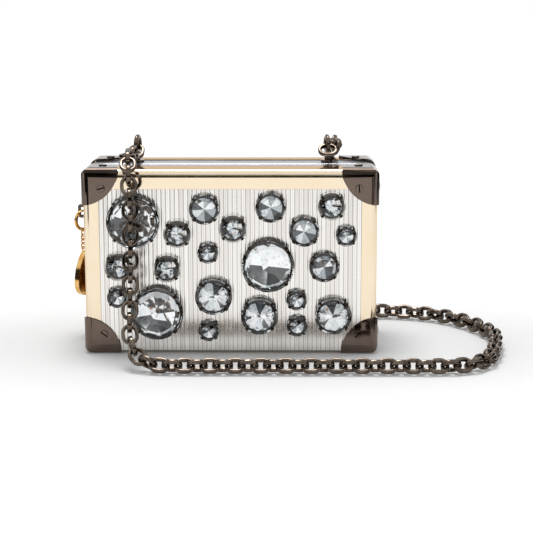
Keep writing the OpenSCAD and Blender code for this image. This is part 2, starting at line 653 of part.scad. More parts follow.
// The origin: where the right foot of the back half meets the table
foot_in = 6;
translate([foot_in - half_w, foot_in - half_d, 0]) {
    back_tray();
    at_back() frame();  // back_frame
    at_back() ribbed_panel();  // back_panel
    back_lining();
    lip();  // back_lip
    at_back() cap(-1, 1);  // back_cap_tl
    at_back() cap(1, 1);  // back_cap_tr
    at_back() cap(-1, -1);  // back_cap_bl
    at_back() cap(1, -1);  // back_cap_br
    at_back() screws();  // back_screws
    at_back() closers();  // back_magnets
    hinge_leaf(0, 1);  // back_hinge_leaf
    hinge_pin();
    eye(-1);  // eye_left
    eye(1);  // eye_right
    eye_nuts();
    staple();  // side_staple
    chain_left_top();
    chain(1);  // chain_front_drop
    chain(2);  // chain_front_run
    chain(3);  // chain_turn
    chain(4);  // chain_back_run
    chain(5);  // chain_back_rise
    chain_right_top();
    tray();  // front_tray
    frame();  // front_frame
    ribbed_panel();  // front_panel
    lining();  // front_lining
    cap(-1, 1);  // front_cap_tl
    cap(1, 1);  // front_cap_tr
    cap(-1, -1);  // front_cap_bl
    cap(1, -1);  // front_cap_br
    screws();  // front_screws
    closers();  // front_keepers
    hinge_leaf(1, -1);  // front_hinge_leaf
    setting_set(places_xl_shares, stone_xl_d, girdle_xl, crown_xl);  // settings_xl
    setting_set(places_l_shares, stone_l_d, girdle_l, crown_l);  // settings_l
    setting_set(places_m_shares, stone_m_d, girdle_m, crown_m);  // settings_m
    setting_set(places_p_shares, stone_p_d, girdle_p, crown_p);  // settings_p
    setting_set(places_s_shares, stone_s_d, girdle_s, crown_s);  // settings_s
    crystal_set(places_xl_shares, stone_xl_d, girdle_xl, crown_xl, xl_table_share);  // stones_xl
    crystal_set(places_l_shares, stone_l_d, girdle_l, crown_l, 0);  // stones_l
    crystal_set(places_m_shares, stone_m_d, girdle_m, crown_m, m_table_share);  // stones_m
    crystal_set(places_p_shares, stone_p_d, girdle_p, crown_p, 0);  // stones_p
    crystal_set(places_s_shares, stone_s_d, girdle_s, crown_s, s_table_share);  // stones_s
    clasp_ring();
    clasp_trigger();
    charm_links();
    pendant_rim();
    pendant_filigree();
    pendant_back();
    pendant_stone();
}
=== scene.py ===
"""Looks for a crystal-set minaudiere: a hard evening case with corner caps, a chain and a charm."""
import json
import math
import random

import bpy
from mathutils import Matrix, Vector


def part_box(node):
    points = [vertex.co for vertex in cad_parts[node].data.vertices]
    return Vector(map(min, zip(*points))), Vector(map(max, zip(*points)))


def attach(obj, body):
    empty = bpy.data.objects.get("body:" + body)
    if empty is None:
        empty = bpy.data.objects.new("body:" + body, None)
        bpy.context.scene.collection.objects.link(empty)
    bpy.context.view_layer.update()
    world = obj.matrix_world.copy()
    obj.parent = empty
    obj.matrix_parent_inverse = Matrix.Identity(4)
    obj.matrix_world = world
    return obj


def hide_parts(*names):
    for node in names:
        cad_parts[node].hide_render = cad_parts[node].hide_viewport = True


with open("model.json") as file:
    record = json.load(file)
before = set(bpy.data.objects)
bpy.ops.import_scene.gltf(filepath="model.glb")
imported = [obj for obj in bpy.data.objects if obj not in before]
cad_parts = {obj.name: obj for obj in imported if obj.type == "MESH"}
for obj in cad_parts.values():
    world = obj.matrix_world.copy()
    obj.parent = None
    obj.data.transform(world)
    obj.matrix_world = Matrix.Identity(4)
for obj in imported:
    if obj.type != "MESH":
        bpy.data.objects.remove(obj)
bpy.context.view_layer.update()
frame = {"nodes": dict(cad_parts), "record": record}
bpy.ops.object.select_all(action="DESELECT")
MM = 0.001
X, Y, Z = Vector((1, 0, 0)), Vector((0, 1, 0)), Vector((0, 0, 1))
scene = bpy.context.scene
scene.view_settings.view_transform = "Standard"


# The case's main planes, from the frame
frame_low, frame_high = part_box("front_frame")
back_low, back_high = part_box("back_frame")
panel_low, panel_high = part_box("front_panel")
# The middle of the closed case's underside, on the surface that it stands on
CASE_AT = Vector(((frame_low.x + frame_high.x) / 2, (frame_low.y + back_high.y) / 2, 0))
# Ribs of the panel, counted from its left edge
RIBS = 59
rib_pitch = (panel_high.x - panel_low.x) / RIBS


# Colours and nodes
def rgb(code):
    """An sRGB hex colour as linear red, green, blue and alpha."""
    parts = [int(code[i:i + 2], 16) / 255 for i in (1, 3, 5)]
    return [c / 12.92 if c <= 0.04045 else ((c + 0.055) / 1.055) ** 2.4 for c in parts] + [1.0]


def add_node(tree, kind, settings=None, links=None):
    """Adds a node, sets its sockets or fields by name and links its inputs."""
    node = tree.nodes.new(kind)
    for name, value in (settings or {}).items():
        if isinstance(name, int) or name in node.inputs:
            node.inputs[name].default_value = value
        else:
            setattr(node, name, value)
    for name, source in (links or {}).items():
        tree.links.new(source, node.inputs[name])
    return node


def new_material(name, **sockets):
    """A material with its Principled shader, its node tree and object coordinates."""
    material = bpy.data.materials.new(name)
    material.use_nodes = True
    tree = material.node_tree
    shader = tree.nodes["Principled BSDF"]
    for socket, value in sockets.items():
        shader.inputs[socket.replace("_", " ")].default_value = value
    place = add_node(tree, "ShaderNodeTexCoord").outputs["Object"]
    return material, tree, shader, place


def ramp(tree, factor, stops):
    """A colour ramp driven by a factor: stops are (position, hex colour)."""
    node = add_node(tree, "ShaderNodeValToRGB", links={"Fac": factor})
    while len(node.color_ramp.elements) < len(stops):
        node.color_ramp.elements.new(0.5)
    for element, (position, code) in zip(node.color_ramp.elements, stops):
        element.position = position
        element.color = rgb(code)
    return node.outputs["Color"]


# How far cloudiness changes the gloss, and how high the waves of buffing stand
GLOSSIER, DULLER, WAVE_HIGH = 0.7, 1.4, 0.02 * MM


def plated_metal(name, light, dark, roughness, cloud_mm, peel_mm, peel, rim="#FFFFFF"):
    """Polished plating: a little cloudiness in colour and gloss, and the faint waves of buffing."""
    material, tree, shader, place = new_material(name, Metallic=1.0, Specular_Tint=rgb(rim))
    cloud = add_node(tree, "ShaderNodeTexNoise", {"Scale": 1 / (cloud_mm * MM), "Detail": 4.0},
                     {"Vector": place}).outputs["Fac"]
    tree.links.new(ramp(tree, cloud, [(0.3, dark), (0.7, light)]), shader.inputs["Base Color"])
    gloss = add_node(tree, "ShaderNodeMapRange",
                     {"To Min": roughness * GLOSSIER, "To Max": roughness * DULLER}, {"Value": cloud})
    tree.links.new(gloss.outputs["Result"], shader.inputs["Roughness"])
    waves = add_node(tree, "ShaderNodeTexNoise", {"Scale": 1 / (peel_mm * MM), "Detail": 2.0},
                     {"Vector": place})
    rise = add_node(tree, "ShaderNodeBump", {"Strength": peel, "Distance": WAVE_HIGH},
                    {"Height": waves.outputs["Fac"]})
    tree.links.new(rise.outputs["Normal"], shader.inputs["Normal"])
    return material


# Finishes of the case
# Black nickel plating on brass, polished: warm dark grey, and mirror-like
gunmetal = plated_metal("black_nickel_plating", "#70635A", "#685B52", 0.07, 9, 1.5, 0.04)
# Black nickel on the chain: a little duller, with dark cloudy patches of painted shade that stand for the
# shade between its links, though they fall at random
chain_metal = plated_metal("black_nickel_with_painted_shade", "#7F7368", "#4C423A", 0.11, 4, 0.8, 0.15)
# Blackened brass of the stone settings, hardly polished
setting_metal = plated_metal("blackened_brass", "#4A4039", "#2E2722", 0.3, 2, 0.5, 0.3)
# Painted shade in the screw slots: near-black, standing for the shade in the recess
painted_slot_shade = plated_metal("painted_shade_in_slot", "#26211E", "#14110F", 0.45, 1, 0.3, 0.3)
# Pale gold plating, polished to a mirror
gold = plated_metal("pale_gold_plating", "#F2E2C8", "#EFDDC0", 0.08, 14, 3, 0.02, "#E3CDB0")
# Bright nickel of the tray rim
nickel = plated_metal("bright_nickel", "#E2E2E4", "#D8D8DC", 0.22, 14, 2, 0.03, "#DCDCE0")
# Yellow gold plating of the charm
charm_gold = plated_metal("yellow_gold_plating", "#F2CD8F", "#DDA453", 0.13, 3, 0.6, 0.15)
# Antique gold in the recesses of the pendant
antique_gold = plated_metal("antique_gold_plating", "#E3A146", "#B96F22", 0.28, 1.5, 0.4, 0.4)


# Rolling lines of the sheet: finer ones than these would not show
ROLL_LINE, ROLL_LENGTH = 0.4 * MM, 60 * MM


def satin_nickel():
    """Satin nickel sheet, rolled into ribs: each rib a little lighter or darker, with painted shade along its
    grooves and a fainter painted line in the middle of each rib.
    """
    material, tree, shader, place = new_material("satin_rolled_nickel", Metallic=1.0)
    axes = add_node(tree, "ShaderNodeSeparateXYZ", links={"Vector": place})
    rib = add_node(tree, "ShaderNodeMath",
                   {"operation": "MULTIPLY_ADD", 1: 1 / rib_pitch, 2: -panel_low.x / rib_pitch},
                   {0: axes.outputs["X"]}).outputs[0]
    number = add_node(tree, "ShaderNodeMath", {"operation": "FLOOR"}, {0: rib}).outputs[0]
    shade = add_node(tree, "ShaderNodeTexWhiteNoise", {"noise_dimensions": "1D"}, {"W": number})
    tone = ramp(tree, shade.outputs["Value"], [(0.0, "#E6E3DF"), (0.5, "#F0EEEB"), (1.0, "#F8F7F5")])
    across = add_node(tree, "ShaderNodeMath", {"operation": "FRACT"}, {0: rib}).outputs[0]
    # Painted shade: darker along each rib's groove, and a fainter painted line along the shallow groove in
    # its middle
    painted_groove_shade = ramp(tree, across, [(0.0, "#CFC8C1"), (0.07, "#D6CFC9"), (0.14, "#F4F2F0"), (0.2, "#FFFFFF"),
                                 (0.42, "#FFFFFF"), (0.5, "#E2DFDB"), (0.58, "#FFFFFF"), (0.86, "#FFFFFF"),
                                 (0.93, "#D6CFC9"), (1.0, "#CFC8C1")])
    # A Mix node's colours are its inputs 6 and 7 and its output 2
    mix = add_node(tree, "ShaderNodeMix", {"data_type": "RGBA", "blend_type": "MULTIPLY", 0: 1.0})
    tree.links.new(tone, mix.inputs[6])
    tree.links.new(painted_groove_shade, mix.inputs[7])
    tree.links.new(mix.outputs[2], shader.inputs["Base Color"])
    drawn = add_node(tree, "ShaderNodeMapping", {"Scale": (1 / ROLL_LINE, 0, 1 / ROLL_LENGTH)},
                     {"Vector": place})
    lines = add_node(tree, "ShaderNodeTexNoise", {"Scale": 1.0, "Detail": 2.0},
                     {"Vector": drawn.outputs[0]})
    gloss = add_node(tree, "ShaderNodeMapRange", {"To Min": 0.1, "To Max": 0.24},
                     {"Value": lines.outputs["Fac"]})
    tree.links.new(gloss.outputs["Result"], shader.inputs["Roughness"])
    return material


silver_panel = satin_nickel()


def lining_cloth():
    """Black velour, woven and brushed: matt, with a soft pile that catches light at its edges."""
    material, tree, shader, place = new_material("brushed_velour", Roughness=0.95, Sheen_Weight=0.5)
    pile = add_node(tree, "ShaderNodeTexNoise", {"Scale": 1 / (0.5 * MM), "Detail": 3.0}, {"Vector": place})
    tree.links.new(ramp(tree, pile.outputs["Fac"], [(0.3, "#1B181A"), (0.7, "#2C282A")]),
                   shader.inputs["Base Color"])
    rise = add_node(tree, "ShaderNodeBump", {"Strength": 0.5, "Distance": 0.2 * MM},
                    {"Height": pile.outputs["Fac"]})
    tree.links.new(rise.outputs["Normal"], shader.inputs["Normal"])
    return material


def green_glass():
    """Pressed green glass, polished: deep colour with faint clouds inside."""
    material, tree, shader, place = new_material("pressed_green_glass", Roughness=0.05, IOR=1.52)
    clouds = add_node(tree, "ShaderNodeTexNoise", {"Scale": 1 / (2 * MM), "Detail": 3.0}, {"Vector": place})
    tree.links.new(ramp(tree, clouds.outputs["Fac"], [(0.3, "#22301C"), (0.7, "#4C5C3A")]),
                   shader.inputs["Base Color"])
    return material


cloth = lining_cloth()
green = green_glass()


def cut_crystal():
    """Polished lead crystal: clear, with sharp facets."""
    material, tree, shader, place = new_material(
        "polished_lead_crystal", Transmission_Weight=1.0, IOR=1.55, Roughness=0.0)
    cloud = add_node(tree, "ShaderNodeTexNoise", {"Scale": 1 / (6 * MM), "Detail": 2.0}, {"Vector": place})
    tree.links.new(ramp(tree, cloud.outputs["Fac"], [(0.3, "#F6F9FA"), (0.7, "#FFFFFF")]),
                   shader.inputs["Base Color"])
    return material


# Width of a patch of the foil
FOIL_PATCH = 1.2 * MM


def stone_foil(name, light, dark, fire):
    """Silver foil behind a facet, in one painted tone of light or shade. Rare patches of amber, blue and
    yellow are painted glints that stand for the crystal's fire.
    """
    material, tree, shader, place = new_material(name, Metallic=1.0, Roughness=0.04)
    cells = add_node(tree, "ShaderNodeTexVoronoi", {"Scale": 1 / FOIL_PATCH, "Randomness": 1.0},
                     {"Vector": place})
    axes = add_node(tree, "ShaderNodeSeparateXYZ", links={"Vector": cells.outputs["Color"]})
    plain = [(0.0, dark), (0.2, light), (1.0, light)]
    patches = [(0.0, dark), (0.2, light), (0.955, light), (0.956, "#C79A78"), (0.97, "#C79A78"),
               (0.971, "#93A5C4"), (0.985, "#93A5C4"), (0.986, "#D8D69A"), (0.991, "#D8D69A"), (0.992, light)]
    tree.links.new(ramp(tree, axes.outputs["X"], patches if fire else plain), shader.inputs["Base Color"])
    return material


crystal = cut_crystal()
# Painted light and shade: the facets behind a stone send back unequal light, painted as four tones of the
# same foil, from lit to deep shade
foils = [stone_foil("silver_foil", "#F6F8F9", "#DCDEE0", False),
         stone_foil("silver_foil_with_painted_fire", "#E9EDEF", "#C9CED2", True),
         stone_foil("silver_foil_painted_shade", "#B6BCC0", "#9DA4A9", False),
         stone_foil("silver_foil_painted_deep_shade", "#5C5F62", "#46484A", False)]


# Modelling helpers. Points nearer than MERGE are one, and what is within NEAR of a plane lies on it
MERGE, CAD_MERGE, NEAR, TOUCH = 0.005 * MM, 0.002 * MM, 0.02 * MM, 0.01 * MM
SMOOTH_DEG, CAD_SMOOTH_DEG, BEVEL_OVER_DEG, FLAT_DEG = 35, 32, 35, 1
# How much a large face counts for the light on its rounded edges, out of 100
FLAT_WEIGHT = 90


def select_by(piece, wanted, mode="FACE"):
    """In edit mode, selects the faces that a test on centre and normal wants, or the edges that a test
    on centre and direction wants."""
    bpy.ops.mesh.select_mode(type=mode)
    bpy.ops.mesh.select_all(action="DESELECT")
    bpy.ops.object.mode_set(mode="OBJECT")
    mesh = piece.data
    if mode == "FACE":
        for face in mesh.polygons:
            face.select = wanted(face.center, face.normal)
    else:
        for edge in mesh.edges:
            a, b = (mesh.vertices[i].co for i in edge.vertices)
            edge.select = wanted((a + b) / 2, b - a)
    bpy.ops.object.mode_set(mode="EDIT")


def new_piece(name, add, **settings):
    """Adds a primitive, applies its place and returns it in edit mode with everything selected."""
    bpy.ops.object.select_all(action="DESELECT")
    add(**settings)
    piece = bpy.context.object
    piece.name = piece.data.name = name
    bpy.ops.object.transform_apply(location=True, rotation=True, scale=True)
    bpy.ops.object.mode_set(mode="EDIT")
    bpy.ops.mesh.select_all(action="SELECT")
    return piece


def close_piece(piece, smooth_deg=SMOOTH_DEG):
    """Leaves edit mode with clean, outward faces, smooth up to an angle or flat."""
    bpy.ops.object.mode_set(mode="EDIT")
    bpy.ops.mesh.select_all(action="SELECT")
    bpy.ops.mesh.remove_doubles(threshold=MERGE)
    bpy.ops.mesh.normals_make_consistent(inside=False)
    bpy.ops.object.mode_set(mode="OBJECT")
    if smooth_deg:
        bpy.ops.object.shade_smooth_by_angle(angle=math.radians(smooth_deg))
    return piece


def level_normals(piece):
    """Keeps flat faces flat in the light where rounded edges meet them."""
    bpy.context.view_layer.objects.active = piece
    normals = piece.modifiers.new("normals", "WEIGHTED_NORMAL")
    normals.weight = FLAT_WEIGHT
    normals.keep_sharp = True
    bpy.ops.object.modifier_apply(modifier=normals.name)
    return piece


def join_copies(source, name, frames):
    """One piece of copies of a source, each put where a matrix says."""
    copies = []
    for matrix in frames:
        copy = source.copy()
        copy.data = source.data.copy()
        copy.data.transform(matrix)
        scene.collection.objects.link(copy)
        copies.append(copy)
    bpy.ops.object.select_all(action="DESELECT")
    for copy in copies:
        copy.select_set(True)
    bpy.context.view_layer.objects.active = copies[0]
    if len(copies) > 1:
        bpy.ops.object.join()
    copies[0].name = copies[0].data.name = name
    return copies[0]


def paint(piece, *finishes):
    """Gives a piece its finishes, in the order of its material slots."""
    slots = piece.data.materials
    for i, finish in enumerate(finishes):
        if i < len(slots):
            slots[i] = finish
        else:
            slots.append(finish)


def stand_for(piece, node, *finishes):
    """A piece that takes the place of one CAD node, in the same body."""
    if finishes:
        paint(piece, *finishes)
    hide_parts(node)
    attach(piece, body_of_node[node])
    return piece


def discard(piece):
    """Removes a pattern piece that was only there to be copied."""
    mesh = piece.data
    bpy.data.objects.remove(piece)
    bpy.data.meshes.remove(mesh)


body_of_node = {n: b for b, members in frame["record"]["behaviour"]["bodies"].items() for n in members}
slot_of_node = {part["node"]: part["material_slot"] for part in frame["record"]["subparts"]}


def axes_matrix(at, x, y, z):
    """The matrix that puts a piece's own X, Y and Z along three directions, at a place."""
    return Matrix.Translation(at) @ Matrix((x, y, z)).transposed().to_4x4()


# Chain: the route repeats the part's own points, as shares of the eye's place, the reach and the height
ROUTE_SHARES = [
    (-1.01, -0.081, 1), (-1.03, -0.242, 1), (-1.05, -0.424, 1), (-1.05, -0.586, 1.25),
    (-1.03, -0.747, 1), (-1.01, -0.889, 0.948), (-1, -0.97, 0.865), (-0.99, -1, 0.762),
    (-0.99, -1.03, 0.576), (-0.99, -1.091, 0.41), (-0.99, -1.192, 0.255), (-0.98, -1.313, 0.13),
    (-0.9, -1.434, 0.037), (-0.72, -1.515, 0.004), (-0.52, -1.535, 0), (0, -1.535, 0),
    (0.8, -1.535, 0), (1.6, -1.535, 0), (2.08, -1.535, 0), (2.36, -1.475, 0), (2.56, -1.293, 0),
    (2.66, -1.03, 0), (2.74, -0.687, 0), (2.78, -0.303, 0), (2.72, 0.039, 0), (2.58, 0.627, 0),
    (2.38, 1.137, 0), (2.12, 1.49, 0), (1.8, 1.686, 0), (1.5, 1.686, 0.011), (1.28, 1.529, 0.068),
    (1.14, 1.333, 0.172), (1.08, 1.176, 0.306), (1.06, 1.078, 0.472), (1.05, 1.02, 0.638),
    (1.05, 1.004, 0.783), (1.05, 1, 0.865), (1.05, 0.957, 0.928), (1.054, 0.835, 0.982),
    (1.06, 0.647, 1.5), (1.074, 0.412, 1.95), (1.09, 0.216, 1.87), (1.1, 0.06, 1.62)]
STRETCHES = {"chain_left_top": (0, 4), "chain_front_drop": (4, 13), "chain_front_run": (13, 18),
             "chain_turn": (18, 26), "chain_back_run": (26, 30), "chain_back_rise": (30, 38),
             "chain_right_top": (38, 42)}
# A link's length and width, and the thickness and width of its flat wire
LINK_L, LINK_W, WIRE_T, WIRE_W = 10.6 * MM, 8.6 * MM, 1.8 * MM, 2.4 * MM
# An eye's place from the case's middle, its radius and its wire's radius
EYE_X, EYE_Y, EYE_R, EYE_WIRE_R = 50 * MM, 9 * MM, 4 * MM, 1.1 * MM
# Play between two links, and their gap to the floor
LINK_PLAY, LIE_GAP = 0.8 * MM, 0.1 * MM
# How far the chain hangs off the case in front and behind
DROP_CLEAR, RISE_CLEAR = 13.5 * MM, 7.5 * MM
# How the first link sits in the left eye, and the last one across the right eye
FIRST_IN, FIRST_DOWN, CROSS_OUT, CROSS_DOWN = 0.45 * MM, 1.2 * MM, 0.5 * MM, 1 * MM
ROUTE_STEPS, STRETCH_OVER = 10, 0.05 * MM
WIRE_SOFT, BEND_STEPS, SEAM_NEAR, LINK_SMOOTH_DEG = 0.62 * MM, 12, 0.1 * MM, 40
FIRST_LEAN, CROSS_LEAN = Vector((-0.1, -0.8, -0.58)), Vector((0, 0.8, 0.6))
eye_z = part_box("eye_left")[1].z - EYE_R - EYE_WIRE_R
half_depth = CASE_AT.y - frame_low.y
bend_r = (LINK_W - WIRE_T) / 2
straight = LINK_L - LINK_W


def route_points():
    """The route's points in the case's frame, then a smooth line through them with its distances."""
    lie_z = LINK_W / 2 + LIE_GAP
    roof_z = eye_z - EYE_R
    drop_reach = half_depth + EYE_Y + DROP_CLEAR
    rise_reach = half_depth - EYE_Y + RISE_CLEAR
    points = [CASE_AT + Vector((x * EYE_X, EYE_Y + y * (drop_reach if y < 0 else rise_reach),
                      lie_z + z * (roof_z - lie_z) if z <= 1 else roof_z + (z - 1) * EYE_R))
              for x, y, z in ROUTE_SHARES]
    fine = []
    last = len(points) - 1
    for i in range(last):
        a, b, c, d = points[max(i - 1, 0)], points[i], points[i + 1], points[min(i + 2, last)]
        for k in range(ROUTE_STEPS):
            t = k / ROUTE_STEPS
            fine.append((2 * b + (c - a) * t + (2 * a - 5 * b + 4 * c - d) * t * t
                         + (3 * b - a - 3 * c + d) * t ** 3) / 2)
    fine.append(points[last])
    far = [0.0]
    for a, b in zip(fine, fine[1:]):
        far.append(far[-1] + (b - a).length)
    return fine, far


def route_at(fine, far, distance):
    """The point of the route at a distance from its start."""
    for i in range(len(far) - 1):
        if distance <= far[i + 1] or i == len(far) - 2:
            return fine[i].lerp(fine[i + 1], min(max((distance - far[i]) / (far[i + 1] - far[i]), 0), 1))


def link_matrix(at, along, side):
    """Where a link lies: its length along one direction, its width along another."""
    t = along.normalized()
    n = (side - side.dot(t) * t).normalized()
    return axes_matrix(at, t, n, t.cross(n))


def link_matrices():
    """The matrices of the links of each stretch of the chain."""
    fine, far = route_points()
    pitch = LINK_L - 2 * WIRE_T - LINK_PLAY
    count = 2 * int(far[-1] / pitch / 2) + 2
    step = far[-1] / (count - 1)
    at = [route_at(fine, far, i * step) for i in range(count)]
    along = [(at[min(i + 1, count - 1)] - at[max(i - 1, 0)]).normalized() for i in range(count)]
    side = [X]
    for i in range(1, count):
        side.append((side[-1] - side[-1].dot(along[i]) * along[i]).normalized())
    side[0] = X
    stretches = {}
    for name, (start, end) in STRETCHES.items():
        low, high = far[start * ROUTE_STEPS], far[end * ROUTE_STEPS] + STRETCH_OVER
        stretches[name] = [link_matrix(at[i], along[i], side[i] if i % 2 == 0 else along[i].cross(side[i]))
                           for i in range(1, count) if low < i * step <= high]
    first_dir = FIRST_LEAN.normalized()
    first_at = (CASE_AT + Vector((-EYE_X, EYE_Y - FIRST_IN, eye_z - FIRST_DOWN))
                + (LINK_L - WIRE_T) / 2 * first_dir)
    stretches["chain_left_top"].insert(0, link_matrix(first_at, first_dir, X))
    cross_at = CASE_AT + Vector((EYE_X + CROSS_OUT, EYE_Y, eye_z - CROSS_DOWN)) - bend_r * CROSS_LEAN
    stretches["chain_right_top"].append(link_matrix(cross_at, X, CROSS_LEAN))
    return stretches


def model_link():
    """A link bent from soft-edged flat wire: its section runs along one straight, round an end and back."""
    piece = new_piece("link_pattern", bpy.ops.mesh.primitive_plane_add, size=1,
                      location=(-straight / 2, bend_r, 0), rotation=(0, math.pi / 2, 0))
    bpy.ops.transform.resize(value=(1, WIRE_T, WIRE_W), center_override=(-straight / 2, bend_r, 0))
    bpy.ops.mesh.bevel(offset=WIRE_SOFT, segments=3, affect="VERTICES", profile=0.5)
    for end in (1, -1):
        bpy.ops.mesh.extrude_region_move(TRANSFORM_OT_translate={"value": (end * straight, 0, 0)})
        bpy.ops.mesh.spin(steps=BEND_STEPS, angle=math.pi, center=(end * straight / 2, 0, 0), axis=(0, 0, 1))
    select_by(piece, lambda centre, normal: abs(normal.x) > 0.9 and at_seam(centre))
    bpy.ops.mesh.delete(type="FACE")
    return close_piece(piece, LINK_SMOOTH_DEG)


def at_seam(centre):
    """True at the section's own ends, where the link closes on itself."""
    return abs(abs(centre.x) - straight / 2) < TOUCH and abs(abs(centre.y) - bend_r) < SEAM_NEAR


link = model_link()
for name, matrices in link_matrices().items():
    stand_for(join_copies(link, name + "_links", matrices), name, chain_metal)
discard(link)


# Crystals: a girdle cylinder whose facets are cut one by one, as on a cutter's wheel
def cut_facets(count, turn_deg, tilt_deg, radius, height):
    """Cuts a ring of flat facets. A facet's normal leans by a tilt from the stone's axis, and the facet
    passes through a radius and a height. A tilt over 90 degrees cuts the back."""
    tilt = math.radians(tilt_deg)
    for i in range(count):
        turn = math.radians(turn_deg + i * 360 / count)
        out = Vector((math.cos(turn), math.sin(turn), 0))
        bpy.ops.mesh.select_all(action="SELECT")
        bpy.ops.mesh.bisect(plane_co=out * radius + Z * height, use_fill=True, clear_outer=True,
                            plane_no=out * math.sin(tilt) + Z * math.cos(tilt))


# Diameter, girdle height over the panel and crown height, in mm, then the facets of front and back.
# A ring of facets is its count and turn, the radius and height shares that it passes through, and
# those where its slope leads. Back heights count down from the girdle.
CUTS = {
    "xl": (27, 5.6, 2.4,
           [(8, 0, 1.0, 0.14, 0.68, 1.0), (8, 22.5, 0.86, 0.66, 0.70, 1.0),
            (16, 11.25, 1.0, 0.0, 0.88, 0.44)],
           [(8, 0, 1.0, 0.0, 0.0, 0.3), (16, 11.25, 1.0, 0.0, 0.74, 0.13),
            (8, 22.5, 1.0, 0.06, 0.0, 0.27)]),
    "l": (19, 4.8, 2.5,
          [(8, 0, 1.0, 0.16, 0.0, 1.0), (16, 11.25, 1.0, 0.0, 0.66, 0.50)],
          [(8, 22.5, 1.0, 0.06, 0.0, 0.48), (16, 11.25, 1.0, 0.0, 0.6, 0.26)]),
    "m": (15.4, 4.2, 2.0,
          [(8, 0, 1.0, 0.12, 0.60, 1.0), (8, 22.5, 0.86, 0.56, 0.54, 1.0),
           (16, 11.25, 1.0, 0.0, 0.82, 0.52)],
          [(8, 22.5, 1.0, 0.04, 0.0, 0.44), (8, 0, 1.0, 0.0, 0.6, 0.24)]),
    "p": (14, 3.9, 2.3,
          [(8, 0, 1.0, 0.10, 0.0, 1.0), (16, 11.25, 1.0, 0.0, 0.62, 0.50)],
          [(16, 0, 1.0, 0.05, 0.0, 0.52), (16, 11.25, 1.0, 0.0, 0.6, 0.26)]),
    "s": (10.6, 3.4, 1.6,
          [(8, 0, 1.0, 0.12, 0.52, 1.0), (8, 22.5, 0.84, 0.58, 0.46, 1.0),
           (16, 11.25, 1.0, 0.0, 0.8, 0.54)],
          [(8, 22.5, 1.0, 0.04, 0.0, 0.46), (8, 0, 1.0, 0.0, 0.6, 0.24)]),
}
# Width of the girdle, then how far the cup stays inside it, the cup's wall and the softness of its edges
GIRDLE_BAND, CUP_IN, CUP_WALL, CUP_SOFT = 0.4 * MM, 1.2 * MM, 0.9 * MM, 0.2 * MM
# Claws: width, width on the small stones, thickness, height beside the stone and softness of their edges
CLAW_W, SMALL_CLAW_W, CLAW_T, CLAW_RISE, CLAW_SOFT = 1.8 * MM, 1.3 * MM, 0.5 * MM, 1.2 * MM, 0.16 * MM
# How far a claw rises over the girdle, then how far it folds in and how it lies off the crown
CLAW_UP, CLAW_FOLD, CLAW_OFF, CROWN_RUN_SHARE = 0.45 * MM, 1.0 * MM, 0.05 * MM, 0.45
CLAW_TURNS = (45, 135, 225, 315)
# A facet whose normal points this far down is one of the back
BACK_FACING = -0.05
# How often a back facet has each painted tone of the foil, from the brightest to the darkest
FOIL_SHARES = (5, 3, 3, 1.6)
facet_dice = random.Random(7)


def model_stone(size):
    """A round stone: facets in front up to a table or a point, and foiled facets behind."""
    diameter, girdle, crown, front, back = CUTS[size]
    r, girdle, crown = diameter / 2 * MM, girdle * MM, crown * MM
    piece = new_piece("stone_pattern", bpy.ops.mesh.primitive_cylinder_add, vertices=64, radius=r,
                      depth=crown + girdle, location=(0, 0, (crown - girdle) / 2))
    for count, turn, r1, h1, r2, h2 in back:
        tilt = 180 - math.degrees(math.atan2((h2 - h1) * girdle, (r1 - r2) * r))
        cut_facets(count, turn, tilt, r1 * r, -GIRDLE_BAND - h1 * girdle)
    for count, turn, r1, h1, r2, h2 in front:
        tilt = math.degrees(math.atan2((h2 - h1) * crown, (r1 - r2) * r))
        cut_facets(count, turn, tilt, r1 * r, h1 * crown)
    close_piece(piece, 0)
    paint(piece, crystal, *foils)
    # Each back facet gets one of the painted tones of light and shade at random
    for face in piece.data.polygons:
        if face.normal.z < BACK_FACING:
            face.material_index = facet_dice.choices((1, 2, 3, 4), FOIL_SHARES)[0]
    return piece


